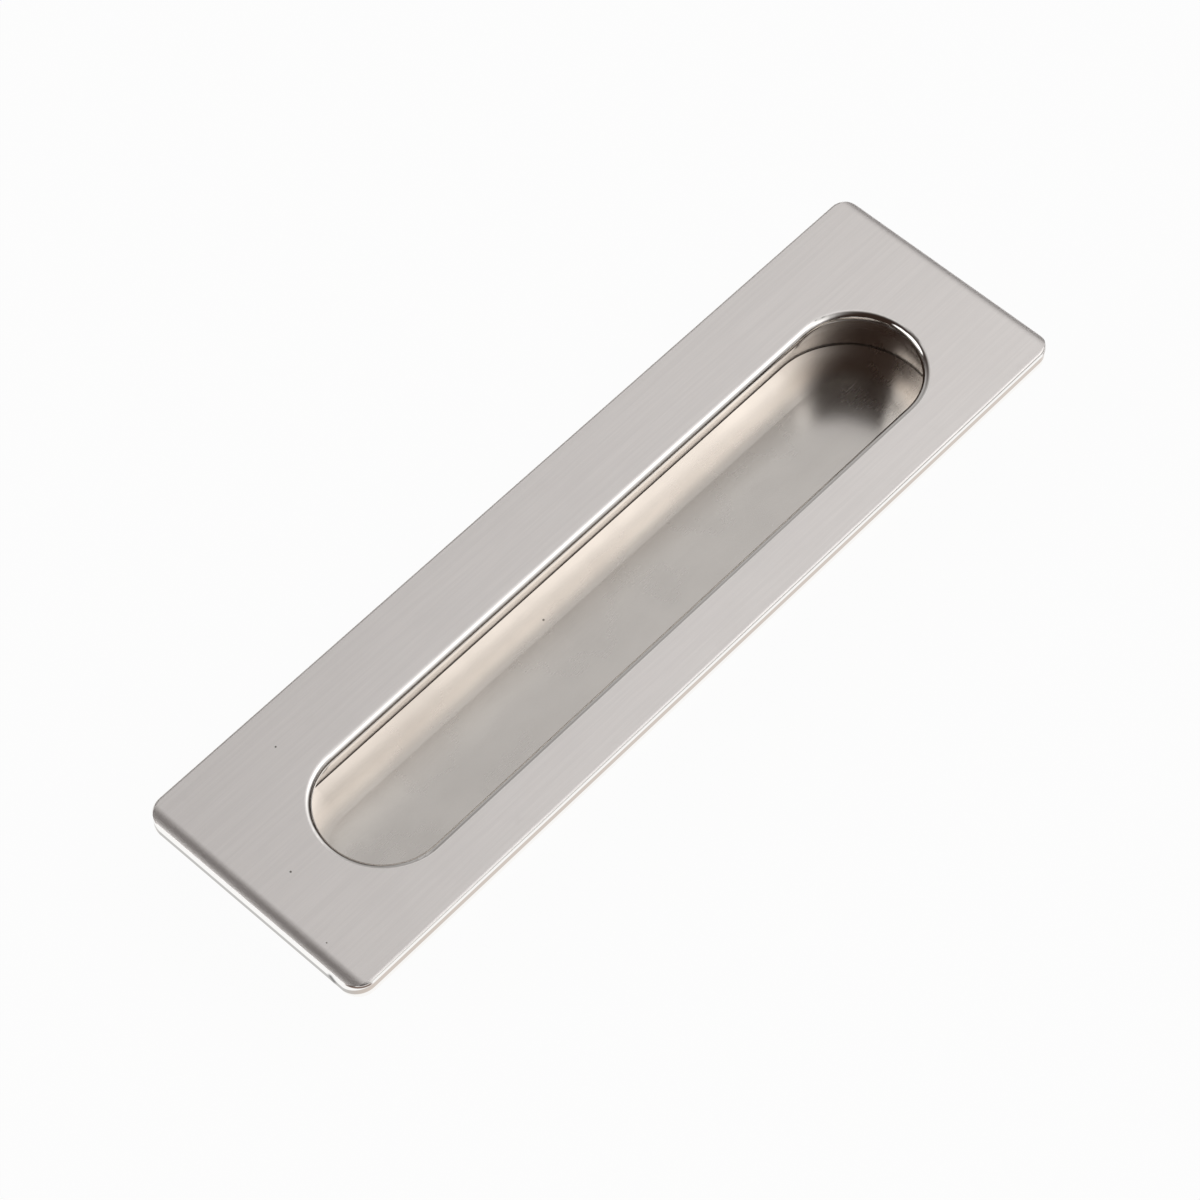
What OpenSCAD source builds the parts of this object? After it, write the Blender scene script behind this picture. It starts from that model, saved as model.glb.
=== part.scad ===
// Recessed pull handle for a drawer front or a sliding door.
// A cast cover with an obround finger opening, closed at the back by a drawn pan.
// Millimetres, +Z out of the face, +X along the handle.
// The origin is the middle of the plane the back of the rim lies in.

/* [Cover] */
// Length of the cover plate
cover_len = 130; // [126:1:160]
// Width of the cover plate
cover_wid = 36; // [35:0.5:60]
// Height of the rim, from its back to the face
rim_h = 2.8; // [2.4:0.1:5]
// Thickness of the plate behind the face
face_t = 1.8; // [1.5:0.1:2]
// Width of the seating rim round the hollow back
rim_w = 2; // [1.8:0.1:3]
// Radius of the four corners in plan
corner_r = 2.6; // [1.5:0.1:6]
// Radius of the polished edge along the long sides
edge_r = 0.4; // [0.2:0.05:0.8]
// Radius of the corners of the hollow back
pocket_r = 1.2; // [0.6:0.1:3]
// How far in from each end the face starts to roll down
roll_w = 1.7; // [0.8:0.1:2.4]
// Radius of the roll at each end of the face
roll_r = 3.2; // [2.6:0.1:8]

/* [Opening] */
// Length of the opening, measured over the lip
open_len = 107.4; // [70:0.1:109]
// Width of the opening, measured over the lip
open_wid = 18.9; // [15:0.1:20]
// How far the opening is moved to the near long side
open_off = 1.9; // [0:0.1:2.4]
// Radius of the polished lip
lip_r = 0.9; // [0.6:0.05:1.2]
// Angle the wall opens out by under the lip, from upright
flare_deg = 19.4; // [10:0.1:22]
// Thickness of the funnel wall
wall_t = 1.1; // [0.9:0.1:1.6]
// Depth of the seam between cover and pan, from the face
seam_depth = 10.8; // [8:0.1:12]
// Height of the relief that shows as the dark seam
seam_gap = 0.25; // [0.15:0.05:0.5]
// Depth of the relief into the wall
seam_in = 0.3; // [0.1:0.05:0.35]

/* [Pan] */
// Thickness of the sheet
sheet_t = 0.5; // [0.45:0.05:0.8]
// Height of the upright edge that stands in the rebate
pan_wall = 0.3; // [0.25:0.05:0.6]
// Radius of the dished border between edge and floor, on the inside
pan_r = 9.6; // [6:0.2:12]
// Slope of the border where it leaves the edge, from upright
pan_deg = 60; // [45:1:70]
// Radius of the inner corner of the upper edge
edge_in = 0.2; // [0.05:0.05:0.2]

/* [Rebate] */
// Depth of the rebate the pan is pressed into
rebate_h = 0.6; // [0.4:0.1:1]
// Room round the pan in the rebate
rebate_gap = 0.05; // [0.02:0.01:0.1]
// Thickness of the skirt round the rebate
skirt_t = 0.45; // [0.4:0.05:0.8]

/* [Fixing] */
// Distance between the tapped holes along the handle
hole_x = 116; // [114:0.5:117]
// Distance between the tapped holes across the handle
hole_y = 24; // [23:0.1:26]
// Diameter of the tapped holes, across the roots of the thread
tap_d = 3; // [2:0.1:3.5]
// Depth of the tapped holes
tap_deep = 5.2; // [4:0.1:5.4]
// Diameter of the bevel at the mouth of the holes
mouth_d = 3.7; // [3.5:0.1:4.4]
// Depth of the bevel
mouth_deep = 0.4; // [0.2:0.05:0.8]
// Diameter of the posts the holes are in
post_d = 6; // [5:0.1:6.4]
// How far the posts stand out behind the rim
post_drop = 4; // [3:0.1:4.4]

/* [Hidden] */
$fn = 96;

// Room that cutting shapes have past the surfaces they cut
over = 1;
// How deep the funnel and the posts are rooted in the plate
root_in = 0.7;

// Middle of the end arcs, and the line the obround is centred on
arc_x = (open_len - open_wid) / 2;
arc_y = -open_off;

// Lip: centre of its round, and the point where the flared wall leaves it
lip_x = open_wid / 2;
lip_z = rim_h - lip_r;
tip_x = lip_x - lip_r * cos(flare_deg);
tip_z = lip_z - lip_r * sin(flare_deg);

// Seam: the shoulder the pan lies against, and the edge seen above it
seam_z = rim_h - seam_depth;
seam_top = seam_z + seam_gap;
seam_x = tip_x + (tip_z - seam_top) * tan(flare_deg);

// Plate: underside, and the height the funnel is rooted at
back_z = rim_h - face_t;
root_z = back_z + root_in;

// Rebate and the skirt round it
rebate_x = seam_x + sheet_t + rebate_gap;
skirt_x = rebate_x + skirt_t;
skirt_z = seam_z - rebate_h;

// Outside of the funnel, and the height at which the skirt goes on from it
wall_run = wall_t / cos(flare_deg);
root_x = tip_x + (tip_z - root_z) * tan(flare_deg) + wall_run;
skirt_top = root_z - (skirt_x - root_x) / tan(flare_deg);

// Pan: where the dished border starts, its centre, flat floor
dish_top = seam_z - pan_wall;
dish_x = seam_x - pan_r * cos(pan_deg);
dish_z = dish_top + pan_r * sin(pan_deg);
floor_z = dish_z - pan_r;

// One corner quarter or one side of a slab: x out to the edge, y up
module slab_profile(r, h, round_r) {
    square([r - round_r, h]);
    translate([r - round_r, 0])
        square([round_r, h - round_r]);
    translate([r - round_r, h - round_r])
        intersection() {
            circle(r = round_r);
            square([round_r, round_r]);
        }
}

// Slab with round corners in plan and a rounded upper edge
module rounded_slab(len, wid, r, h, round_r) {
    dx = len / 2 - r;
    dy = wid / 2 - r;
    translate([-dx, -dy, 0])
        cube([2 * dx, 2 * dy, h]);
    for (a = [0, 180])
        rotate([0, 0, a]) {
            translate([dx, dy, 0])
                rotate_extrude(angle = 90)
                    slab_profile(r, h, round_r);
            translate([-dx, dy, 0])
                rotate([0, 0, 90])
                    rotate_extrude(angle = 90)
                        slab_profile(r, h, round_r);
            translate([-dx, dy, 0])
                rotate([90, 0, 90])
                    linear_extrude(height = 2 * dx)
                        slab_profile(r, h, round_r);
            translate([dx, dy, 0])
                rotate([90, 0, 0])
                    linear_extrude(height = 2 * dy)
                        slab_profile(r, h, round_r);
        }
}

// Plain slab with round corners in plan, for cutting
module plain_slab(len, wid, r, h) {
    dx = len / 2 - r;
    dy = wid / 2 - r;
    translate([-dx, -wid / 2, 0])
        cube([2 * dx, wid, h]);
    for (a = [0, 180])
        rotate([0, 0, a]) {
            translate([dx, -dy, 0])
                cube([r, 2 * dy, h]);
            translate([dx, dy, 0])
                rotate_extrude(angle = 90)
                    square([r, h]);
            translate([dx, -dy, 0])
                rotate([0, 0, -90])
                    rotate_extrude(angle = 90)
                        square([r, h]);
        }
}

// Takes a half section out along the obround of the opening
module obround() {
    translate([0, arc_y, 0]) {
        translate([arc_x, 0, 0])
            rotate([0, 0, -90])
                rotate_extrude(angle = 180)
                    children();
        translate([-arc_x, 0, 0])
            rotate([0, 0, 90])
                rotate_extrude(angle = 180)
                    children();
        translate([-arc_x, 0, 0])
            rotate([90, 0, 90])
                linear_extrude(height = 2 * arc_x) {
                    children();
                    mirror([1, 0])
                        children();
                }
    }
}

// Wedge of the plate that the roll takes off one end of the face
module end_roll() {
    translate([cover_len / 2 - roll_w, 0, rim_h - roll_r])
        difference() {
            translate([0, -cover_wid / 2 - over, 0])
                cube([roll_w + over, cover_wid + 2 * over, roll_r + over]);
            translate([0, cover_wid / 2 + 2 * over, 0])
                rotate([90, 0, 0])
                    cylinder(r = roll_r, h = cover_wid + 4 * over);
        }
}

// Face plate with its rim and its hollow back
module face_plate() {
    difference() {
        rounded_slab(cover_len, cover_wid, corner_r, rim_h, edge_r);
        translate([0, 0, -over])
            plain_slab(cover_len - 2 * rim_w, cover_wid - 2 * rim_w, pocket_r, back_z + over);
        end_roll();
        mirror([1, 0, 0])
            end_roll();
    }
}

// Half section of the outside of the funnel and its skirt, filled to the middle
module funnel_section() {
    polygon([
        [0, skirt_z],
        [skirt_x, skirt_z],
        [skirt_x, skirt_top],
        [root_x, root_z],
        [0, root_z]
    ]);
}

// Half section of the finger opening: round lip, flared wall, seam, rebate
module opening_section() {
    difference() {
        polygon([
            [0, skirt_z - over],
            [rebate_x, skirt_z - over],
            [rebate_x, seam_z],
            [seam_x + seam_in, seam_z],
            [seam_x + seam_in, seam_top],
            [seam_x, seam_top],
            [tip_x, tip_z],
            [lip_x, lip_z],
            [lip_x, rim_h + over],
            [0, rim_h + over]
        ]);
        translate([lip_x, lip_z])
            intersection() {
                circle(r = lip_r);
                polygon([
                    [0, 0],
                    [0, 2 * lip_r],
                    [-2 * lip_r, 2 * lip_r],
                    [-2 * lip_r, 0],
                    [-2 * lip_r * cos(flare_deg), -2 * lip_r * sin(flare_deg)]
                ]);
            }
    }
}

// The four places of the fixing posts
module at_posts() {
    for (sx = [-1, 1])
        for (sy = [-1, 1])
            translate([sx * hole_x / 2, sy * hole_y / 2, -post_drop])
                children();
}

// Tapped hole up a post, with the bevel at its mouth
module tapped_hole() {
    translate([0, 0, -over])
        cylinder(d = tap_d, h = tap_deep + over);
    cylinder(d1 = mouth_d, d2 = tap_d, h = mouth_deep);
}

// Cast cover: face plate, round lip, flared wall, skirt and posts in one
module cover() {
    color([0.77, 0.75, 0.73])
        difference() {
            union() {
                face_plate();
                obround()
                    funnel_section();
                at_posts()
                    cylinder(d = post_d, h = post_drop + root_z);
            }
            obround()
                opening_section();
            at_posts()
                tapped_hole();
        }
}

// Piece of a ring between two angles, centred on the origin
module ring_piece(r, t, from, to) {
    far = 2 * (r + t);
    intersection() {
        difference() {
            circle(r = r + t);
            if (r > 0)
                circle(r = r);
        }
        polygon([
            [0, 0],
            [far * cos(from), far * sin(from)],
            [far * cos(to), far * sin(to)]
        ]);
    }
}

// Section of the upright edge, with its inner corner rounded
module edge_section() {
    square([sheet_t, pan_wall - edge_in]);
    translate([edge_in, pan_wall - edge_in]) {
        square([sheet_t - edge_in, edge_in]);
        intersection() {
            circle(r = edge_in);
            translate([-edge_in, 0])
                square([edge_in, edge_in]);
        }
    }
}

// Half section of the drawn pan: flat floor, dished border, bend, upright edge
module pan_section() {
    translate([0, floor_z - sheet_t])
        square([dish_x, sheet_t]);
    translate([dish_x, dish_z])
        ring_piece(pan_r, sheet_t, -90, -pan_deg);
    translate([seam_x, dish_top])
        ring_piece(0, sheet_t, -pan_deg, 0);
    translate([seam_x, dish_top])
        edge_section();
}

// Drawn pan that closes the back of the opening
module pan() {
    color([0.69, 0.67, 0.65])
        obround()
            pan_section();
}

cover();
pan();
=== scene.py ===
"""Finishes, threads, stage and camera for a recessed pull handle."""

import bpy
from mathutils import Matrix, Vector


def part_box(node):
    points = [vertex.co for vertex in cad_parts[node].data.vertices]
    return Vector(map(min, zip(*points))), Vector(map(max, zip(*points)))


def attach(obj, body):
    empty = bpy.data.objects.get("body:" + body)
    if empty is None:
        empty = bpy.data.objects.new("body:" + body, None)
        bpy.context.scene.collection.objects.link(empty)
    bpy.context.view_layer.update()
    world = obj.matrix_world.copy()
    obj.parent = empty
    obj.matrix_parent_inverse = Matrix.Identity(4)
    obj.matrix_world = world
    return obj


bl_info = {
    "name": "Recessed Pull Handle Finishes",
    "version": (1, 0, 0),
    "blender": (4, 5, 0),
    "location": "View3D > Sidebar > Pull Handle",
    "description": "Nickel finishes for a recessed pull handle, with its threads, stage and camera",
    "category": "Material",
}

import math

import bmesh
import bpy
from bpy.props import FloatProperty, FloatVectorProperty, IntProperty, PointerProperty
from mathutils import Euler

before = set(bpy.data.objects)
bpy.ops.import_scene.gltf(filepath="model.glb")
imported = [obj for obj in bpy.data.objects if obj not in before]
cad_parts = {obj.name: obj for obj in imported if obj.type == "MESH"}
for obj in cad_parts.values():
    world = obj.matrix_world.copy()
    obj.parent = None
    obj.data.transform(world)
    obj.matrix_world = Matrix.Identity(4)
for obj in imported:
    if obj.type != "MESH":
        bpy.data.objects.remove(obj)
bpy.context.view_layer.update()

MM = 0.001

# Places on the handle that the finishes and the threads follow, in millimetres,
# from its solids where they tell them and otherwise from its drawing
_, COVER_HIGH = (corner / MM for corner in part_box("cover"))
PAN_LOW, PAN_HIGH = (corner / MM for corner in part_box("pan"))
FACE_Z = COVER_HIGH.z
BACK_Z = FACE_Z - 1.8
HALF_LENGTH = COVER_HIGH.x
HALF_WIDTH = COVER_HIGH.y
CORNER_RADIUS = 2.6
EDGE_RADIUS = 0.4
OPENING_RADIUS = 9.45
LIP_RADIUS = 0.9
POLISH_DOWN = 2.8
POLISH_FADE = 0.6
OPENING_Y = -1.9
ARC_X = 44.25
FLARE = math.radians(19.4)
TIP_Z = FACE_Z - LIP_RADIUS * (1 + math.sin(FLARE))
SEAM_Z = PAN_HIGH.z
BORDER_START = 7.1
BORDER_FADE = 2.4
HOLE_X = 58.0
HOLE_Y = 12.0
HOLE_MOUTH_Z = -4.0
HOLE_TOP_Z = 1.2

# Room from the mouth and from the top of a hole to its thread
THREAD_FROM_MOUTH = 0.7
THREAD_FROM_TOP = 0.9

# Section of a thread's ridge in shares of the pitch: how far it stands in, half its foot,
# half its crest, and how far the foot lies in the wall of the hole
RIDGE_DEPTH = 0.54
RIDGE_FOOT = 0.44
RIDGE_CREST = 0.0625
RIDGE_ROOT = 0.02

# How far under the seam the painted shade in the crease is full, and where it ends
SEAM_SHADE_FULL = 0.24
SEAM_SHADE_END = 0.32

# Heights of the painted dark lines round the rim: where each starts, is full, stays full and ends.
# The painted reflection at the foot of the rim differs between the short ends and the long sides.
SHORT_FOOT_REFLECTION = (0.1, 0.25, 0.85, 1.05)
LONG_FOOT_REFLECTION = (0.8, 1.1, 1.95, 2.2)
# Painted shade under the edge of the rim, at its corners
UNDER_EDGE_SHADE = (2.05, 2.2, 2.45, 2.65)

# Heights that the bumps of the grain and of the cast back stand for, in metres, and the
# strength of the pan's grain
GRAIN_HEIGHT = 0.00002
CAST_HEIGHT = 0.00004
PAN_GRAIN = 0.005

# How much further out the polish of the lip reaches at its near side, for each millimetre
# across the opening
POLISH_LEAN = 0.014

# Colours of marks, dirt and painted shade, and how strongly they cover
# Brown of the painted shade under the edge at the rim's corners
CORNER_SHADE_BROWN = (0.17, 0.11, 0.085, 1.0)
# Colour of the dark patch on the rim, partly a mark and partly painted shade
DARK_RIM_PATCH_COLOUR = (0.09, 0.085, 0.08, 1.0)
SPECK_COLOUR = (0.10, 0.09, 0.08, 1.0)
# Colour and cover of the painted shade in the crease under the seam
SEAM_SHADE_COLOUR = (0.10, 0.08, 0.07, 1.0)
SEAM_SHADE_COVER = 0.75
FINE_SCRATCH_COLOUR = (0.85, 0.83, 0.8, 1.0)
FINE_SCRATCH_COVER = 0.05
SCRATCH_COLOUR = (0.95, 0.93, 0.9, 1.0)
SCRATCH_COVER = 0.5

# Dark specks on the face and the pan, with their sizes
FACE_SPECKS = (
    ((-47.86, 12.71, FACE_Z), 0.17),
    ((-58.87, -0.76, FACE_Z), 0.19),
    ((-62.73, -10.54, FACE_Z), 0.14),
)
PAN_SPECK = (-6.34, 6.64, -9.48)
PAN_SPECK_SIZE = 0.2

# Dark patch across the rim at the left end near its corner, from start to end: partly a mark and
# partly painted shade
DARK_RIM_PATCH = ((-HALF_LENGTH, -12.9, 1.5), (-HALF_LENGTH, -14.3, 0.3))
DARK_RIM_PATCH_WIDTH = 0.8

# Scratches near the far end of the pan, from start to end
PAN_SCRATCHES = (
    ((48.2, 1.6, -9.6), (51.0, 2.1, -9.5)),
    ((50.4, 0.7, -9.6), (53.2, 1.3, -9.4)),
    ((52.8, 0.0, -9.4), (54.6, 0.5, -9.0)),
)
PAN_SCRATCH_WIDTH = 0.14

# Softboxes: turn round the handle from +X, height above the floor and half width,
# all in degrees, and brightness. Rounded and changed from a fit to the photo.
SOFTBOXES = (
    # Large box at the right, which lights the far wall and the pan
    (-36, 46, 16, 1.4),
    (-72, 46, 16, 0.65),
    (0, 46, 16, 0.6),
    # Overhead box, which the face shows
    (30, 66, 16, 0.85),
    # Low boxes behind the handle, which the near lip shows
    (20, 32, 10, 0.5),
    (56, 26, 12, 0.4),
    (80, 8, 16, 0.4),
    # Low boxes at the sides, which the rim and the far lip show
    (-79, 26, 12, 0.85),
    (-62, 6, 14, 0.35),
    (135, 6, 12, 0.6),
)

# Two panes of a window at the far left, which the right end of the recess shows,
# stated like the softboxes
WINDOW_PANES = (
    (127, 31, 15, 1.4),
    (154, 28, 15, 1.2),
)
# Softness of the edge of a pane, in degrees
PANE_EDGE = 3

# Share of plain white that the floor shows to the camera and in the metal
FLOOR_WHITE = 0.96
# Half the width of the floor, in metres
FLOOR_HALF = 3.0


# Settings that a user of the scene would change


class HandleFaceSettings(bpy.types.PropertyGroup):
    """Brushed face, polished lip and rim, and cast back of the cover"""

    face_colour: FloatVectorProperty(
        name="Face Colour",
        description="Colour of the brushed nickel on the face",
        subtype="COLOR",
        size=3,
        min=0.0,
        max=1.0,
        default=(0.935, 0.907, 0.894),
    )
    wall_colour: FloatVectorProperty(
        name="Wall Colour",
        description="Colour of the satin nickel on the flared wall under the lip",
        subtype="COLOR",
        size=3,
        min=0.0,
        max=1.0,
        default=(0.86, 0.825, 0.79),
    )
    polish_colour: FloatVectorProperty(
        name="Polish Colour",
        description="Colour of the polished nickel on the lip and the rim",
        subtype="COLOR",
        size=3,
        min=0.0,
        max=1.0,
        default=(0.97, 0.955, 0.935),
    )
    # Painted reflection: dark grey on the foot of the polished rim at the short ends
    foot_reflection_colour: FloatVectorProperty(
        name="Rim Foot Colour",
        description="Colour of the foot of the rim at the short ends, where no wheel reaches",
        subtype="COLOR",
        size=3,
        min=0.0,
        max=1.0,
        default=(0.46, 0.45, 0.435),
    )
    # Painted reflection: beige-brown on the lower part of the polished rim along the long sides
    side_foot_reflection_colour: FloatVectorProperty(
        name="Long Rim Foot Colour",
        description="Colour of the foot of the rim along the long sides",
        subtype="COLOR",
        size=3,
        min=0.0,
        max=1.0,
        default=(0.60, 0.52, 0.46),
    )
    cast_colour: FloatVectorProperty(
        name="Cast Colour",
        description="Colour of the plated casting at the back",
        subtype="COLOR",
        size=3,
        min=0.0,
        max=1.0,
        default=(0.50, 0.485, 0.465),
    )
    face_roughness: FloatProperty(
        name="Face Roughness",
        description="How far the brushed face spreads what it reflects",
        subtype="FACTOR",
        min=0.05,
        max=1.0,
        default=0.36,
    )
    wall_roughness: FloatProperty(
        name="Wall Roughness",
        description="How far the flared wall under the lip spreads what it reflects",
        subtype="FACTOR",
        min=0.05,
        max=1.0,
        default=0.24,
    )
    polish_roughness: FloatProperty(
        name="Polish Roughness",
        description="Haze left on the polished lip and rim",
        subtype="FACTOR",
        min=0.0,
        max=0.5,
        default=0.07,
    )
    grain_depth: FloatProperty(
        name="Grain Depth",
        description="Depth of the brushing, in the bump",
        subtype="FACTOR",
        min=0.0,
        max=1.0,
        default=0.16,
    )


class HandlePanSettings(bpy.types.PropertyGroup):
    """Satin sheet of the pan"""

    sheet_colour: FloatVectorProperty(
        name="Sheet Colour",
        description="Colour of the satin nickel on the pan",
        subtype="COLOR",
        size=3,
        min=0.0,
        max=1.0,
        default=(0.645, 0.62, 0.594),
    )
    # Painted light: the dished border lighter and warmer than the sheet, standing in for light
    # bounced round the recess
    painted_light_border_colour: FloatVectorProperty(
        name="Border Colour",
        description="Colour of the dished border of the pan, which drawing has burnished",
        subtype="COLOR",
        size=3,
        min=0.0,
        max=1.0,
        default=(0.72, 0.655, 0.592),
    )
    sheet_roughness: FloatProperty(
        name="Sheet Roughness",
        description="How far the satin sheet spreads what it reflects",
        subtype="FACTOR",
        min=0.05,
        max=1.0,
        default=0.26,
    )


class HandleThreadSettings(bpy.types.PropertyGroup):
    """Threads in the four fixing posts"""

    pitch: FloatProperty(
        name="Pitch",
        description="Distance from one ridge of the thread to the next",
        subtype="DISTANCE",
        min=0.0002,
        max=0.002,
        precision=5,
        default=0.0005,
    )
    root_diameter: FloatProperty(
        name="Root Diameter",
        description="Diameter of the thread across its roots, which is the hole's",
        subtype="DISTANCE",
        min=0.001,
        max=0.01,
        precision=5,
        default=0.003,
    )
    steps: IntProperty(
        name="Steps a Turn",
        description="Straight steps that one turn of the thread is made with",
        min=12,
        max=96,
        default=40,
    )


class HandleStageSettings(bpy.types.PropertyGroup):
    """Floor, backdrop and studio light"""

    floor_colour: FloatVectorProperty(
        name="Floor Colour",
        description="Colour of the floor",
        subtype="COLOR",
        size=3,
        min=0.0,
        max=1.0,
        default=(0.94, 0.94, 0.94),
    )
    light_colour: FloatVectorProperty(
        name="Light Colour",
        description="Colour of the studio light",
        subtype="COLOR",
        size=3,
        min=0.0,
        max=1.0,
        default=(1.0, 0.995, 0.985),
    )
    softbox_level: FloatProperty(
        name="Softbox Level",
        description="Brightness of all the softboxes together, where 1 is as set",
        min=0.0,
        max=10.0,
        default=1.0,
    )
    room_colour: FloatVectorProperty(
        name="Room Colour",
        description="Colour of the studio between the softboxes",
        subtype="COLOR",
        size=3,
        min=0.0,
        max=1.0,
        default=(1.0, 0.62, 0.48),
    )
    room_level: FloatProperty(
        name="Room Level",
        description="Brightness of the studio between the softboxes",
        min=0.0,
        max=2.0,
        default=0.03,
    )


class HandleCameraSettings(bpy.types.PropertyGroup):
    """Camera that looks over the near long edge from the left"""

    location: FloatVectorProperty(
        name="Location",
        description="Place of the camera",
        subtype="TRANSLATION",
        unit="LENGTH",
        size=3,
        default=(-0.2058, -0.1699, 0.4077),
    )
    rotation: FloatVectorProperty(
        name="Rotation",
        description="Direction of the camera",
        subtype="EULER",
        unit="ROTATION",
        size=3,
        default=(math.radians(32.8533), math.radians(-1.4897), math.radians(-47.7081)),
    )
    lens: FloatProperty(
        name="Focal Length",
        description="Focal length on a 36 mm wide film",
        min=10.0,
        max=500.0,
        default=116.19,
    )


SETTINGS = (
    ("handle_face", HandleFaceSettings),
    ("handle_pan", HandlePanSettings),
    ("handle_thread", HandleThreadSettings),
    ("handle_stage", HandleStageSettings),
    ("handle_camera", HandleCameraSettings),
)


# Nodes


class Tree:
    """Adds nodes to a shader tree and links them."""

    def __init__(self, tree):
        self.tree = tree
        self.column = 0

    def add(self, kind, inputs=None, **settings):
        node = self.tree.nodes.new(kind)
        node.location = (self.column * 190, -(self.column % 5) * 170)
        self.column += 1
        for name, value in settings.items():
            setattr(node, name, value)
        for name, value in (inputs or {}).items():
            socket = node.inputs[name]
            if isinstance(value, bpy.types.NodeSocket):
                self.tree.links.new(value, socket)
            else:
                socket.default_value = value
        return node

    def math(self, operation, first, second=0.0, third=0.0, clamp=False):
        inputs = {0: first, 1: second}
        if operation == "MULTIPLY_ADD":
            inputs[2] = third
        return self.add("ShaderNodeMath", inputs, operation=operation, use_clamp=clamp).outputs[0]

    def vector(self, operation, first, second=(0.0, 0.0, 0.0)):
        node = self.add("ShaderNodeVectorMath", {0: first, 1: second}, operation=operation)
        number = operation in {"LENGTH", "DISTANCE", "DOT_PRODUCT"}
        return node.outputs["Value" if number else "Vector"]

    def ramp(self, value, low, high, out_low=0.0, out_high=1.0):
        """Goes smoothly from out_low at low to out_high at high."""
        inputs = {
            "Value": value,
            "From Min": low,
            "From Max": high,
            "To Min": out_low,
            "To Max": out_high,
        }
        return self.add("ShaderNodeMapRange", inputs, interpolation_type="SMOOTHSTEP").outputs[0]

    def blend(self, factor, first, second):
        """Mixes two numbers."""
        node = self.add("ShaderNodeMix", {0: factor, 2: first, 3: second}, data_type="FLOAT")
        return node.outputs[0]

    def tint(self, factor, first, second, how="MIX"):
        """Mixes two colours."""
        inputs = {0: factor, 6: first, 7: second}
        return self.add("ShaderNodeMix", inputs, data_type="RGBA", blend_type=how).outputs[2]

    def band(self, value, start, full, stay, end):
        """Rises from start to full, and falls from stay to end."""
        fall = self.ramp(value, end, stay)
        return self.math("MULTIPLY", fall, self.ramp(value, start, full))

    def grey(self, value):
        """Colour with the same number in all its parts."""
        return self.add("ShaderNodeCombineColor", {0: value, 1: value, 2: value}).outputs[0]

    def place(self):
        """Place on the handle in millimetres."""
        place = self.add("ShaderNodeTexCoord").outputs["Object"]
        return self.vector("MULTIPLY", place, (1 / MM, 1 / MM, 1 / MM))

    def split(self, vector):
        return self.add("ShaderNodeSeparateXYZ", {0: vector}).outputs[:]

    def noise(self, vector, scale=1.0, detail=2.0, roughness=0.5):
        inputs = {
            "Vector": vector,
            "Scale": scale,
            "Detail": detail,
            "Roughness": roughness,
        }
        return self.add("ShaderNodeTexNoise", inputs).outputs[0]


def new_group(name, inputs, outputs):
    """Returns the inside of a new node group, and its input and output nodes."""
    group = bpy.data.node_groups.new(name, "ShaderNodeTree")
    for label, kind, value in inputs:
        socket = group.interface.new_socket(name=label, in_out="INPUT", socket_type=kind)
        socket.default_value = value
    for label, kind in outputs:
        group.interface.new_socket(name=label, in_out="OUTPUT", socket_type=kind)
    tree = Tree(group)
    return tree, group.nodes.new("NodeGroupInput"), group.nodes.new("NodeGroupOutput")


def use_group(tree, name, **values):
    """Puts a node group in a material with its own values."""
    node = tree.add("ShaderNodeGroup", node_tree=bpy.data.node_groups[name])
    for label, value in values.items():
        socket = node.inputs[label.replace("_", " ").title()]
        if isinstance(value, bpy.types.NodeSocket):
            tree.tree.links.new(value, socket)
        else:
            socket.default_value = value
    return node


def opening_group():
    """Distance from the centre line of the opening, and height, in millimetres."""
    tree, _, out = new_group(
        "Opening Section", (), (("Distance", "NodeSocketFloat"), ("Height", "NodeSocketFloat"))
    )
    x, y, z = tree.split(tree.place())
    past_arc = tree.math("MAXIMUM", tree.math("SUBTRACT", tree.math("ABSOLUTE", x), ARC_X), 0.0)
    across = tree.math("SUBTRACT", y, OPENING_Y)
    flat = tree.add("ShaderNodeCombineXYZ", {0: past_arc, 1: across}).outputs[0]
    tree.tree.links.new(tree.vector("LENGTH", flat), out.inputs["Distance"])
    tree.tree.links.new(z, out.inputs["Height"])


def grain_group():
    """Fine lines, soft bands and a bump height, as left by brushing or rolling along the handle."""
    tree, given, out = new_group(
        "Brushed Grain",
        (
            ("Line Length", "NodeSocketFloat", 12.0),
            ("Line Width", "NodeSocketFloat", 0.12),
            ("Band Width", "NodeSocketFloat", 1.2),
        ),
        (("Lines", "NodeSocketFloat"), ("Bands", "NodeSocketFloat"), ("Height", "NodeSocketFloat")),
    )
    x, y, z = tree.split(tree.place())
    along = tree.math("DIVIDE", x, given.outputs["Line Length"])
    across = tree.math("DIVIDE", y, given.outputs["Line Width"])
    up = tree.math("DIVIDE", z, given.outputs["Line Width"])
    fine = tree.add("ShaderNodeCombineXYZ", {0: along, 1: across, 2: up}).outputs[0]
    lines = tree.noise(fine, 1.0, 3.0, 0.62)
    cut = tree.noise(tree.vector("MULTIPLY", fine, (0.55, 0.4, 0.4)), 1.0, 1.0, 0.5)
    slow = tree.math("MULTIPLY", along, 0.35)
    wide = tree.math("DIVIDE", y, given.outputs["Band Width"])
    deep = tree.math("DIVIDE", z, given.outputs["Band Width"])
    broad = tree.add("ShaderNodeCombineXYZ", {0: slow, 1: wide, 2: deep}).outputs[0]
    bands = tree.noise(broad, 1.0, 2.0, 0.5)
    tree.tree.links.new(lines, out.inputs["Lines"])
    tree.tree.links.new(bands, out.inputs["Bands"])
    height = tree.math("MULTIPLY_ADD", cut, 0.8, lines)
    tree.tree.links.new(height, out.inputs["Height"])


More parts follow.
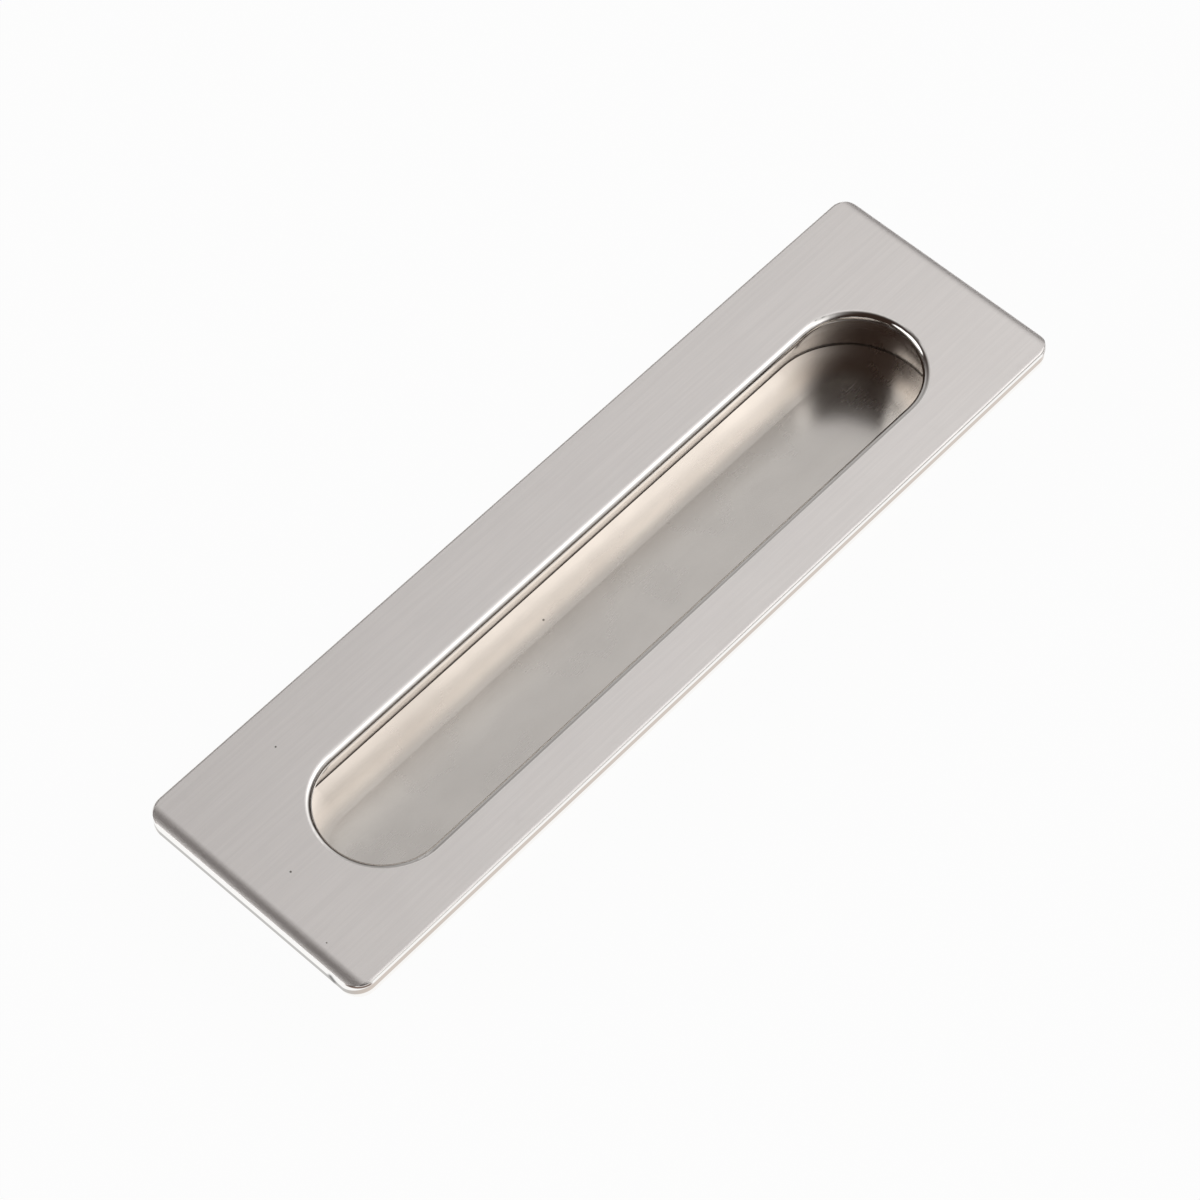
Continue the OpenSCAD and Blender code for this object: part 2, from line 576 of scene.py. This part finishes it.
def speck_group():
    """One small dark speck at a place, a little ragged at its edge."""
    tree, given, out = new_group(
        "Speck",
        (("Place", "NodeSocketVector", (0.0, 0.0, 0.0)), ("Size", "NodeSocketFloat", 0.12)),
        (("Mask", "NodeSocketFloat"),),
    )
    place = tree.place()
    ragged = tree.math("MULTIPLY", tree.math("SUBTRACT", tree.noise(place, 9.0, 1.0), 0.5), 0.12)
    away = tree.math("ADD", tree.vector("DISTANCE", place, given.outputs["Place"]), ragged)
    edge = tree.math("MULTIPLY", given.outputs["Size"], 0.35)
    tree.tree.links.new(tree.ramp(away, edge, given.outputs["Size"], 1.0, 0.0), out.inputs["Mask"])


def stroke_group():
    """One scratch between two places, soft at its sides and its ends."""
    tree, given, out = new_group(
        "Stroke",
        (
            ("Start", "NodeSocketVector", (0.0, 0.0, 0.0)),
            ("End", "NodeSocketVector", (1.0, 0.0, 0.0)),
            ("Width", "NodeSocketFloat", 0.1),
        ),
        (("Mask", "NodeSocketFloat"),),
    )
    start = given.outputs["Start"]
    run = tree.vector("SUBTRACT", given.outputs["End"], start)
    away = tree.vector("SUBTRACT", tree.place(), start)
    size = tree.vector("DOT_PRODUCT", run, run)
    share = tree.math("DIVIDE", tree.vector("DOT_PRODUCT", away, run), size, clamp=True)
    spread = tree.add("ShaderNodeCombineXYZ", {0: share, 1: share, 2: share}).outputs[0]
    aside = tree.vector("DISTANCE", away, tree.vector("MULTIPLY", run, spread))
    soft = tree.ramp(aside, 0.0, given.outputs["Width"], 1.0, 0.0)
    ends = tree.ramp(tree.math("ABSOLUTE", tree.math("SUBTRACT", share, 0.5)), 0.2, 0.5, 1.0, 0.0)
    tree.tree.links.new(tree.math("MULTIPLY", soft, ends), out.inputs["Mask"])


def hairline_group():
    """Sparse fine scratches and a cloudy film from handling."""
    tree, given, out = new_group(
        "Handling Marks",
        (("Scratch Size", "NodeSocketFloat", 7.0), ("Scratch Width", "NodeSocketFloat", 0.012)),
        (("Scratches", "NodeSocketFloat"), ("Film", "NodeSocketFloat")),
    )
    place = tree.place()
    scratches = None
    for turn, shift in ((0.5, 3.1), (-0.9, 11.7), (1.25, 23.9)):
        turned = tree.add(
            "ShaderNodeVectorRotate", {"Vector": place, "Angle": turn}, rotation_type="Z_AXIS"
        ).outputs[0]
        moved = tree.vector("ADD", turned, (shift, shift * 1.7, 0.0))
        x, y, _ = tree.split(moved)
        long = tree.math("DIVIDE", x, given.outputs["Scratch Size"])
        wide = tree.math("MULTIPLY", y, 0.45)
        wave = tree.add("ShaderNodeCombineXYZ", {0: long, 1: wide}).outputs[0]
        line = tree.noise(wave, 1.0, 0.0)
        near = tree.math("ABSOLUTE", tree.math("SUBTRACT", line, 0.5))
        thin = tree.ramp(near, 0.0, given.outputs["Scratch Width"], 1.0, 0.0)
        elsewhere = tree.vector("ADD", moved, (40.0, 9.0, 0.0))
        patch = tree.ramp(tree.noise(elsewhere, 0.16, 1.0), 0.58, 0.66)
        part = tree.math("MULTIPLY", thin, patch)
        scratches = part if scratches is None else tree.math("MAXIMUM", scratches, part)
    film = tree.noise(place, 0.09, 3.0, 0.55)
    tree.tree.links.new(scratches, out.inputs["Scratches"])
    tree.tree.links.new(film, out.inputs["Film"])


def make_groups():
    for name, build in (
        ("Opening Section", opening_group),
        ("Brushed Grain", grain_group),
        ("Speck", speck_group),
        ("Stroke", stroke_group),
        ("Handling Marks", hairline_group),
        ("Softbox", softbox_group),
        ("Window", window_group),
    ):
        if name not in bpy.data.node_groups:
            build()


def new_material(name):
    material = bpy.data.materials.new(name)
    material.use_nodes = True
    material.node_tree.nodes.clear()
    tree = Tree(material.node_tree)
    shader = tree.add("ShaderNodeBsdfPrincipled")
    out = tree.add("ShaderNodeOutputMaterial", {"Surface": shader.outputs[0]})
    out.location = (5200, 0)
    shader.location = (4900, 0)
    return material, tree, shader


def rgb(colour):
    return (colour[0], colour[1], colour[2], 1.0)


def darker(colour, share):
    return (colour[0] * share, colour[1] * share, colour[2] * share, 1.0)


# Finishes


def cover_material(face):
    """Brushed face, polished lip and rim, satin wall and cast back, told apart by their place, with
    painted reflection and painted shade on the rim.
    """
    material, tree, shader = new_material("brushed_and_polished_nickel")
    x, y, z = tree.split(tree.place())
    opening = use_group(tree, "Opening Section")
    distance = opening.outputs["Distance"]

    # Flared wall inside the recess, and what lies outside it
    slope = tree.math("MULTIPLY", tree.math("SUBTRACT", TIP_Z, z), math.tan(FLARE))
    inside = tree.math("ADD", slope, OPENING_RADIUS - LIP_RADIUS * math.cos(FLARE))
    outside = tree.ramp(tree.math("SUBTRACT", distance, inside), 0.35, 0.55)
    below = tree.ramp(z, TIP_Z + 0.1, TIP_Z - 0.2)
    wall = tree.math("MULTIPLY", below, tree.ramp(distance, 0.0, 0.1))
    wall = tree.math("MULTIPLY", wall, tree.math("SUBTRACT", 1.0, outside))

    # Polished lip, from the edge of the face down on to the top of the flared wall
    across = tree.math("SUBTRACT", y, OPENING_Y)
    reach = tree.math("MULTIPLY_ADD", across, POLISH_LEAN, distance)
    on_lip = tree.ramp(reach, OPENING_RADIUS - 0.06, OPENING_RADIUS - 0.14)
    on_lip = tree.math("MULTIPLY", on_lip, tree.ramp(z, TIP_Z - 0.35, TIP_Z - 0.15))
    polish_end = TIP_Z - POLISH_DOWN
    wheel = tree.ramp(z, polish_end - POLISH_FADE, polish_end + POLISH_FADE)
    wheel = tree.math("MULTIPLY", wall, wheel)

    # Polished rim and long edges, from the distance to the plate's outline
    past_x = tree.math("SUBTRACT", tree.math("ABSOLUTE", x), HALF_LENGTH - CORNER_RADIUS)
    past_y = tree.math("SUBTRACT", tree.math("ABSOLUTE", y), HALF_WIDTH - CORNER_RADIUS)
    out_x = tree.math("MAXIMUM", past_x, 0.0)
    out_y = tree.math("MAXIMUM", past_y, 0.0)
    past = tree.add("ShaderNodeCombineXYZ", {0: out_x, 1: out_y}).outputs[0]
    beyond = tree.vector("LENGTH", past)
    inner = tree.math("MINIMUM", tree.math("MAXIMUM", past_x, past_y), 0.0)
    outline = tree.math("SUBTRACT", tree.math("ADD", beyond, inner), CORNER_RADIUS)
    sideways = tree.math("DIVIDE", out_y, tree.math("MAXIMUM", beyond, 0.01), clamp=True)
    edge = tree.math("MULTIPLY", tree.math("POWER", sideways, 2.0), -0.3 * EDGE_RADIUS)
    on_rim = tree.ramp(tree.math("SUBTRACT", outline, edge), -0.05, -0.01)
    polished = tree.math("MAXIMUM", tree.math("MAXIMUM", on_lip, wheel), on_rim)

    # Cast back: everything under the plate and outside the flared wall
    behind = tree.math("MULTIPLY", tree.ramp(z, BACK_Z + 0.2, BACK_Z + 0.05), outside)
    in_rim = tree.ramp(outline, -0.3, -0.4)
    cast = tree.math("MULTIPLY", behind, in_rim)

    grain = use_group(tree, "Brushed Grain", line_length=6.0, line_width=0.07, band_width=0.45)
    marks = use_group(tree, "Handling Marks", scratch_size=9.0, scratch_width=0.008)
    lines, bands = grain.outputs["Lines"], grain.outputs["Bands"]

    # Colour of the brushed, polished and satin parts
    line_tone = tree.ramp(lines, 0.3, 0.7, -0.024, 0.024)
    band_tone = tree.ramp(bands, 0.3, 0.7, -0.018, 0.018)
    tone = tree.math("ADD", tree.math("ADD", line_tone, band_tone), 1.0)
    brushed = tree.tint(1.0, rgb(face.face_colour), tree.grey(tone), "MULTIPLY")
    film = tree.ramp(marks.outputs["Film"], 0.45, 0.75, 0.0, 0.35)
    brushed = tree.tint(film, brushed, darker(face.face_colour, 0.95))
    brushed = tree.tint(wall, brushed, rgb(face.wall_colour))
    colour = tree.tint(polished, brushed, rgb(face.polish_colour))

    # Painted dark reflection along the foot of the rim, painted brown shade under the edge at its
    # corners, and the dark patch across it, partly a mark and partly painted shade
    heights = [tree.blend(sideways, short, long) for short, long in zip(SHORT_FOOT_REFLECTION, LONG_FOOT_REFLECTION)]
    # The foot band is a painted reflection, not a difference in the finish
    foot = tree.math("MULTIPLY", tree.band(z, *heights), on_rim)
    foot_reflection_colour = tree.tint(sideways, rgb(face.foot_reflection_colour), rgb(face.side_foot_reflection_colour))
    colour = tree.tint(foot, colour, foot_reflection_colour)
    # Painted brown shade under the edge, at the corners of the rim
    corner = tree.ramp(tree.math("MULTIPLY", out_x, out_y), 0.3, 1.6)
    corner = tree.math("MULTIPLY", corner, on_rim)
    corner_shade = tree.math("MULTIPLY", corner, tree.band(z, *UNDER_EDGE_SHADE))
    colour = tree.tint(corner_shade, colour, CORNER_SHADE_BROWN)
    # Dark patch across the rim near the left end's corner: partly a mark, partly painted shade
    start, end = DARK_RIM_PATCH
    dark_rim_patch = use_group(tree, "Stroke", start=start, end=end, width=DARK_RIM_PATCH_WIDTH)
    colour = tree.tint(dark_rim_patch.outputs["Mask"], colour, DARK_RIM_PATCH_COLOUR)

    # Cast back and specks
    pitted = tree.noise(tree.place(), 2.6, 4.0, 0.6)
    pits = tree.ramp(pitted, 0.35, 0.65)
    cast_tone = tree.tint(pits, rgb(face.cast_colour), darker(face.cast_colour, 0.86))
    colour = tree.tint(cast, colour, cast_tone)
    for place, size in FACE_SPECKS:
        speck = use_group(tree, "Speck", place=place, size=size)
        colour = tree.tint(speck.outputs["Mask"], colour, SPECK_COLOUR)
    tree.tree.links.new(colour, shader.inputs["Base Color"])

    rough = tree.math("ADD", face.face_roughness, tree.ramp(lines, 0.3, 0.7, -0.03, 0.05))
    rough = tree.math("ADD", rough, tree.math("MULTIPLY", marks.outputs["Scratches"], 0.04))
    rough = tree.blend(wall, rough, face.wall_roughness)
    least, most = face.polish_roughness * 0.8, face.polish_roughness * 1.3
    haze = tree.ramp(marks.outputs["Film"], 0.3, 0.8, least, most)
    rough = tree.blend(polished, rough, haze)
    rough = tree.blend(cast, rough, tree.ramp(pitted, 0.3, 0.7, 0.42, 0.55))
    tree.tree.links.new(rough, shader.inputs["Roughness"])

    bare = tree.math("SUBTRACT", 1.0, tree.math("MAXIMUM", polished, cast))
    brush_bump = tree.add(
        "ShaderNodeBump",
        {
            "Strength": face.grain_depth,
            "Distance": GRAIN_HEIGHT,
            "Height": tree.math("MULTIPLY", grain.outputs["Height"], bare),
        },
    )
    cast_bump = tree.add(
        "ShaderNodeBump",
        {
            "Strength": 0.5,
            "Distance": CAST_HEIGHT,
            "Height": tree.math("MULTIPLY", pitted, cast),
            "Normal": brush_bump.outputs[0],
        },
    )
    tree.tree.links.new(cast_bump.outputs[0], shader.inputs["Normal"])
    shader.inputs["Metallic"].default_value = 1.0
    return material


def pan_material(pan):
    """Satin sheet with a faint roll grain, painted shade in the crease under the seam, a lighter
    and warmer border as painted light, and a few fine scratches.
    """
    material, tree, shader = new_material("satin_nickel_sheet")
    opening = use_group(tree, "Opening Section")
    distance, z = opening.outputs["Distance"], opening.outputs["Height"]
    grain = use_group(tree, "Brushed Grain", line_length=2.2, line_width=0.35, band_width=3.0)
    marks = use_group(tree, "Handling Marks", scratch_size=5.0, scratch_width=0.012)
    lines, bands = grain.outputs["Lines"], grain.outputs["Bands"]

    line_tone = tree.ramp(lines, 0.3, 0.7, -0.012, 0.012)
    band_tone = tree.ramp(bands, 0.35, 0.65, -0.012, 0.012)
    tone = tree.math("ADD", tree.math("ADD", line_tone, band_tone), 1.0)
    # Painted light: the dished border lighter and warmer than the sheet
    lighter_border = tree.ramp(distance, BORDER_START, BORDER_START + BORDER_FADE)
    colour = tree.tint(lighter_border, rgb(pan.sheet_colour), rgb(pan.painted_light_border_colour))
    colour = tree.tint(1.0, colour, tree.grey(tone), "MULTIPLY")
    # Painted shade in the crease just under the seam, where the cover meets the pan
    seam_shade = tree.ramp(z, SEAM_Z - SEAM_SHADE_END, SEAM_Z - SEAM_SHADE_FULL)
    seam_shade = tree.math("MULTIPLY", seam_shade, SEAM_SHADE_COVER)
    colour = tree.tint(seam_shade, colour, SEAM_SHADE_COLOUR)
    fine = tree.math("MULTIPLY", marks.outputs["Scratches"], FINE_SCRATCH_COVER)
    colour = tree.tint(fine, colour, FINE_SCRATCH_COLOUR)
    for start, end in PAN_SCRATCHES:
        scratch = use_group(tree, "Stroke", start=start, end=end, width=PAN_SCRATCH_WIDTH)
        bare = tree.math("MULTIPLY", scratch.outputs["Mask"], SCRATCH_COVER)
        colour = tree.tint(bare, colour, SCRATCH_COLOUR)
    speck = use_group(tree, "Speck", place=PAN_SPECK, size=PAN_SPECK_SIZE)
    colour = tree.tint(speck.outputs["Mask"], colour, SPECK_COLOUR)
    tree.tree.links.new(colour, shader.inputs["Base Color"])

    rough = tree.math("ADD", pan.sheet_roughness, tree.ramp(lines, 0.3, 0.7, -0.006, 0.008))
    rough = tree.math("ADD", rough, tree.ramp(marks.outputs["Film"], 0.35, 0.7, -0.02, 0.03))
    tree.tree.links.new(rough, shader.inputs["Roughness"])

    inputs = {"Strength": PAN_GRAIN, "Distance": GRAIN_HEIGHT, "Height": grain.outputs["Height"]}
    bump = tree.add("ShaderNodeBump", inputs)
    tree.tree.links.new(bump.outputs[0], shader.inputs["Normal"])
    shader.inputs["Metallic"].default_value = 1.0
    return material


def dress(node, material):
    """Puts a material on every slot of a solid."""
    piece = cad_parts[node]
    if not piece.material_slots:
        raise RuntimeError(f"the solid {node} has no material slot")
    for slot in piece.material_slots:
        slot.material = material


class HANDLE_OT_finish_cover(bpy.types.Operator):
    """Gives the cover its brushed face, polished lip and rim, and cast back"""

    bl_idname = "handle.finish_cover"
    bl_label = "Finish the Cover"

    def execute(self, context):
        make_groups()
        dress("cover", cover_material(context.scene.handle_face))
        return {"FINISHED"}


class HANDLE_OT_finish_pan(bpy.types.Operator):
    """Gives the pan its satin sheet finish"""

    bl_idname = "handle.finish_pan"
    bl_label = "Finish the Pan"

    def execute(self, context):
        make_groups()
        dress("pan", pan_material(context.scene.handle_pan))
        return {"FINISHED"}


# Threads


def thread_ridge(mesh, centre, low, high, radius, pitch, steps):
    """Winds one ridge of an inner thread, which fades in and out over a quarter turn."""
    foot, crest = RIDGE_FOOT * pitch, RIDGE_CREST * pitch
    root = radius + RIDGE_ROOT * pitch
    total = int(steps * (high - low) / pitch)
    rings = []
    for step in range(total + 1):
        turn = 2 * math.pi * step / steps
        fade = min(1.0, step * 4 / steps, (total - step) * 4 / steps)
        rise = low + pitch * step / steps
        tip = radius - RIDGE_DEPTH * pitch * fade
        ring = []
        for reach, up in ((root, -foot), (tip, -crest), (tip, crest), (root, foot)):
            x = centre[0] + reach * math.cos(turn)
            y = centre[1] + reach * math.sin(turn)
            ring.append(mesh.verts.new((x, y, rise + up)))
        rings.append(ring)
    for first, second in zip(rings, rings[1:]):
        for a, b in ((0, 1), (1, 2), (2, 3), (3, 0)):
            mesh.faces.new((first[a], first[b], second[b], second[a]))
    mesh.faces.new(tuple(reversed(rings[0])))
    mesh.faces.new(tuple(rings[-1]))


class HANDLE_OT_cut_threads(bpy.types.Operator):
    """Winds the threads inside the four fixing posts"""

    bl_idname = "handle.cut_threads"
    bl_label = "Cut the Threads"

    def execute(self, context):
        thread = context.scene.handle_thread
        mesh = bmesh.new()
        for side in (-1, 1):
            for row in (-1, 1):
                centre = (side * HOLE_X * MM, row * HOLE_Y * MM)
                thread_ridge(
                    mesh,
                    centre,
                    (HOLE_MOUTH_Z + THREAD_FROM_MOUTH) * MM,
                    (HOLE_TOP_Z - THREAD_FROM_TOP) * MM,
                    thread.root_diameter / 2,
                    thread.pitch,
                    thread.steps,
                )
        bmesh.ops.recalc_face_normals(mesh, faces=mesh.faces)
        data = bpy.data.meshes.new("post_threads")
        mesh.to_mesh(data)
        mesh.free()
        piece = bpy.data.objects.new("post_threads", data)
        context.scene.collection.objects.link(piece)
        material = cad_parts["cover"].material_slots[0].material
        if material is None:
            raise RuntimeError("the cover has no finish yet")
        data.materials.append(material)
        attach(piece, "root")
        return {"FINISHED"}


# Stage


def floor_material(colour):
    """Pale floor that keeps the shadow and shows white to the camera and in the metal."""
    material, tree, shader = new_material("pale_floor")
    shader.inputs["Base Color"].default_value = rgb(colour)
    shader.inputs["Roughness"].default_value = 0.9
    shader.inputs["Specular IOR Level"].default_value = 0.0
    paths = tree.add("ShaderNodeLightPath")
    seen = tree.math("MAXIMUM", paths.outputs["Is Camera Ray"], paths.outputs["Is Glossy Ray"])
    seen = tree.math("MAXIMUM", seen, paths.outputs["Is Transmission Ray"])
    white = tree.add("ShaderNodeEmission", {"Color": (1.0, 1.0, 1.0, 1.0), "Strength": 1.0})
    share = tree.math("MULTIPLY", seen, FLOOR_WHITE)
    mixed = tree.add("ShaderNodeMixShader", {0: share, 1: shader.outputs[0], 2: white.outputs[0]})
    out = next(node for node in tree.tree.nodes if node.type == "OUTPUT_MATERIAL")
    tree.tree.links.new(mixed.outputs[0], out.inputs["Surface"])
    return material


def softbox_group():
    """Light of one softbox in a direction: brightest at its middle, fading softly round it."""
    tree, given, out = new_group(
        "Softbox",
        (
            ("Way", "NodeSocketVector", (0.0, 0.0, 1.0)),
            ("Direction", "NodeSocketVector", (0.0, 0.0, 1.0)),
            ("Sharpness", "NodeSocketFloat", 18.0),
            ("Level", "NodeSocketFloat", 1.0),
        ),
        (("Light", "NodeSocketFloat"),),
    )
    near = tree.vector("DOT_PRODUCT", given.outputs["Way"], given.outputs["Direction"])
    off = tree.math("SUBTRACT", near, 1.0)
    fade = tree.math("EXPONENT", tree.math("MULTIPLY", off, given.outputs["Sharpness"]))
    tree.tree.links.new(tree.math("MULTIPLY", fade, given.outputs["Level"]), out.inputs["Light"])


def window_group():
    """Light of a window in a direction: even inside, with a narrow soft edge."""
    tree, given, out = new_group(
        "Window",
        (
            ("Way", "NodeSocketVector", (0.0, 0.0, 1.0)),
            ("Direction", "NodeSocketVector", (0.0, 0.0, 1.0)),
            ("Outer", "NodeSocketFloat", 0.95),
            ("Inner", "NodeSocketFloat", 0.98),
            ("Level", "NodeSocketFloat", 1.0),
        ),
        (("Light", "NodeSocketFloat"),),
    )
    near = tree.vector("DOT_PRODUCT", given.outputs["Way"], given.outputs["Direction"])
    even = tree.ramp(near, given.outputs["Outer"], given.outputs["Inner"])
    tree.tree.links.new(tree.math("MULTIPLY", even, given.outputs["Level"]), out.inputs["Light"])


def direction(turn, rise):
    """Direction of a light, from its turn from +X and its height in degrees."""
    turn, rise = math.radians(turn), math.radians(rise)
    return (math.cos(rise) * math.cos(turn), math.cos(rise) * math.sin(turn), math.sin(rise))


def set_world(scene, stage):
    """Softboxes and a window round the handle in a dim studio, white to the camera."""
    world = bpy.data.worlds.new("studio")
    scene.world = world
    world.use_nodes = True
    world.node_tree.nodes.clear()
    tree = Tree(world.node_tree)
    way = tree.add("ShaderNodeTexCoord").outputs["Generated"]
    total = 0.0
    for turn, rise, half_width, level in SOFTBOXES:
        box = use_group(
            tree,
            "Softbox",
            way=way,
            direction=direction(turn, rise),
            sharpness=math.log(2) / (1 - math.cos(math.radians(half_width))),
            level=level * stage.softbox_level,
        )
        total = tree.math("ADD", total, box.outputs["Light"])
    for turn, rise, half_width, level in WINDOW_PANES:
        pane = use_group(
            tree,
            "Window",
            way=way,
            direction=direction(turn, rise),
            outer=math.cos(math.radians(half_width + PANE_EDGE)),
            inner=math.cos(math.radians(half_width - PANE_EDGE)),
            level=level * stage.softbox_level,
        )
        total = tree.math("ADD", total, pane.outputs["Light"])
    room = [part * stage.room_level for part in stage.room_colour]
    colour = tree.tint(1.0, rgb(stage.light_colour), tree.grey(total), "MULTIPLY")
    colour = tree.tint(1.0, colour, rgb(room), "ADD")
    light = tree.add("ShaderNodeBackground", {"Color": colour})
    white = tree.add("ShaderNodeBackground", {"Color": (1.0, 1.0, 1.0, 1.0)})
    seen = tree.add("ShaderNodeLightPath").outputs["Is Camera Ray"]
    mixed = tree.add("ShaderNodeMixShader", {0: seen, 1: light.outputs[0], 2: white.outputs[0]})
    tree.add("ShaderNodeOutputWorld", {"Surface": mixed.outputs[0]})


class HANDLE_OT_set_stage(bpy.types.Operator):
    """Lays the pale floor and sets the studio light"""

    bl_idname = "handle.set_stage"
    bl_label = "Set the Stage"

    def execute(self, context):
        scene = context.scene
        mesh = bmesh.new()
        bmesh.ops.create_grid(mesh, x_segments=8, y_segments=8, size=FLOOR_HALF)
        data = bpy.data.meshes.new("floor")
        mesh.to_mesh(data)
        mesh.free()
        floor = bpy.data.objects.new("floor", data)
        floor.location.z = PAN_LOW.z * MM
        scene.collection.objects.link(floor)
        data.materials.append(floor_material(scene.handle_stage.floor_colour))
        make_groups()
        set_world(scene, scene.handle_stage)
        scene.view_settings.view_transform = "Standard"
        return {"FINISHED"}


class HANDLE_OT_place_camera(bpy.types.Operator):
    """Places the camera and makes it the scene's own"""

    bl_idname = "handle.place_camera"
    bl_label = "Place the Camera"

    def execute(self, context):
        values = context.scene.handle_camera
        data = bpy.data.cameras.new("camera")
        data.lens = values.lens
        data.sensor_width = 36.0
        data.sensor_fit = "HORIZONTAL"
        data.clip_start = 0.01
        data.clip_end = 20.0
        camera = bpy.data.objects.new("camera", data)
        camera.location = values.location
        camera.rotation_euler = Euler(values.rotation)
        context.scene.collection.objects.link(camera)
        context.scene.camera = camera
        return {"FINISHED"}


class HANDLE_PT_panel(bpy.types.Panel):
    """Finishes, threads, stage and camera of the handle"""

    bl_idname = "HANDLE_PT_panel"
    bl_label = "Recessed Pull Handle"
    bl_space_type = "VIEW_3D"
    bl_region_type = "UI"
    bl_category = "Pull Handle"

    def draw(self, context):
        for name, kind in SETTINGS:
            box = self.layout.box()
            values = getattr(context.scene, name)
            for field in kind.__annotations__:
                box.prop(values, field)
        for operator in OPERATORS:
            self.layout.operator(operator.bl_idname)


OPERATORS = (
    HANDLE_OT_place_camera,
    HANDLE_OT_finish_cover,
    HANDLE_OT_finish_pan,
    HANDLE_OT_cut_threads,
    HANDLE_OT_set_stage,
)


def register():
    for _, kind in SETTINGS:
        bpy.utils.register_class(kind)
    for operator in OPERATORS:
        bpy.utils.register_class(operator)
    bpy.utils.register_class(HANDLE_PT_panel)
    for name, kind in SETTINGS:
        setattr(bpy.types.Scene, name, PointerProperty(type=kind))


def unregister():
    for name, _ in SETTINGS:
        delattr(bpy.types.Scene, name)
    bpy.utils.unregister_class(HANDLE_PT_panel)
    for operator in reversed(OPERATORS):
        bpy.utils.unregister_class(operator)
    for _, kind in reversed(SETTINGS):
        bpy.utils.unregister_class(kind)


def main():
    register()
    bpy.ops.handle.place_camera()
    bpy.ops.handle.finish_cover()
    bpy.ops.handle.finish_pan()
    bpy.ops.handle.cut_threads()
    bpy.ops.handle.set_stage()


if __name__ == "__main__":
    main()
